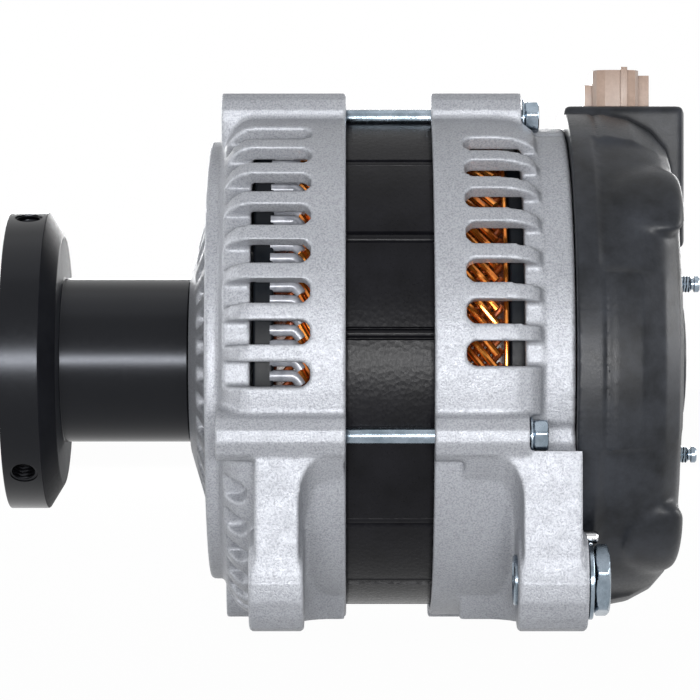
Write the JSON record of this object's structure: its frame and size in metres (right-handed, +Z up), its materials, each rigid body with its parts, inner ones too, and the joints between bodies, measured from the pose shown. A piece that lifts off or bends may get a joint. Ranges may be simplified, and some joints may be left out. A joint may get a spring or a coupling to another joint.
{
  "type": "generator alternator head",
  "caption": "Alternator with a flanged drive hub, ribbed and vented end castings, a bare laminated stator, a plastic rear cover with a plug socket, and mounting lugs on one side.",
  "frame": {"origin": "centre of the shaft's flat front end, inside the drive hub's socket", "axes": "+X along the shaft to the rear cover, +Z up through the plug socket's side, -Y out of the side with the bolt and the mounting lugs"},
  "size_m": [0.196, 0.163, 0.1596],
  "materials": {
    "casting": "fine blasted",
    "hub": "gloss black",
    "stator": "crinkled black paint",
    "winding": "lacquered copper bars",
    "zinc": "bluish zinc",
    "screw": "dark oxide",
    "steel": "machined",
    "bearing": "ground",
    "pole": "forged and varnished",
    "coil": "lacquered winding",
    "moulding": "moulded black",
    "ring": "turned copper",
    "brush": "carbon",
    "spring": "drawn wire",
    "rectifier": "stamped",
    "stud": "plated",
    "cover": "fine grained black",
    "connector": "pale moulded",
    "pin": "tinned"
  },
  "bodies": {
    "housing": {"front_housing": "casting", "rear_housing": "casting", "stator_core": "stator", "stator_winding": "winding", "through_bolt_1": "zinc", "through_bolt_2": "zinc", "through_bolt_3": "zinc", "through_bolt_4": "zinc", "bearing_retainer": "steel", "retainer_screw_1": "zinc", "retainer_screw_2": "zinc", "retainer_screw_3": "zinc", "lug_bush": "steel", "bush_washer": "steel", "bush_pin": "steel", "rear_cover": "cover", "cover_stud_1": "zinc", "cover_stud_2": "zinc", "cover_stud_3": "zinc", "cover_nut_1": "zinc", "cover_nut_2": "zinc", "cover_nut_3": "zinc", "connector_shell": "connector", "connector_pin_1": "pin", "connector_pin_2": "pin", "connector_pin_3": "pin", "regulator_body": "moulding", "brush_holder": "moulding", "brush_spring_1": "spring", "brush_spring_2": "spring", "rectifier_plate": "rectifier", "terminal_block": "moulding", "front_bearing_outer": "bearing", "rear_bearing_outer": "bearing", "output_stud": "stud", "output_nut": "zinc", "output_insulator": "moulding"},
    "rotor": {"drive_hub": "hub", "set_screw_1": "screw", "set_screw_2": "screw", "set_screw_3": "screw", "shaft_nut": "zinc", "hub_spacer": "steel", "rotor_shaft": "steel", "front_pole": "pole", "rear_pole": "pole", "field_coil": "coil", "front_fan": "steel", "rear_fan": "steel", "slip_ring_carrier": "moulding", "slip_ring_inner": "ring", "slip_ring_outer": "ring", "front_bearing_inner": "bearing", "rear_bearing_inner": "bearing"},
    "front_cage": {"front_bearing_cage": "bearing"},
    "rear_cage": {"rear_bearing_cage": "bearing"},
    "brush_1": {"brush_1": "brush"},
    "brush_2": {"brush_2": "brush"}
  },
  "joints": [
    {"name": "rotor_spin", "type": "hinge", "parent": "housing", "child": "rotor", "pos_m": [0, 0, 0], "axis": [1, 0, 0], "continuous": true},
    {"name": "front_cage_spin", "type": "hinge", "parent": "housing", "child": "front_cage", "pos_m": [0.0422, 0, 0], "axis": [1, 0, 0], "continuous": true},
    {"name": "rear_cage_spin", "type": "hinge", "parent": "housing", "child": "rear_cage", "pos_m": [0.1299, 0, 0], "axis": [1, 0, 0], "continuous": true},
    {"name": "brush_1_slide", "type": "slide", "parent": "housing", "child": "brush_1", "axis": [0, 0, 1], "range_m": [0, 0.005], "stiffness_N_per_m": 200, "springref_m": -0.004, "deforming": ["brush_spring_1"]},
    {"name": "brush_2_slide", "type": "slide", "parent": "housing", "child": "brush_2", "axis": [0, 0, 1], "range_m": [0, 0.005], "stiffness_N_per_m": 200, "springref_m": -0.004, "deforming": ["brush_spring_2"]}
  ],
  "couplings": [
    {"joint": "front_cage_spin", "follows": "rotor_spin", "ratio": 0.3748},
    {"joint": "rear_cage_spin", "follows": "rotor_spin", "ratio": 0.3946}
  ]
}
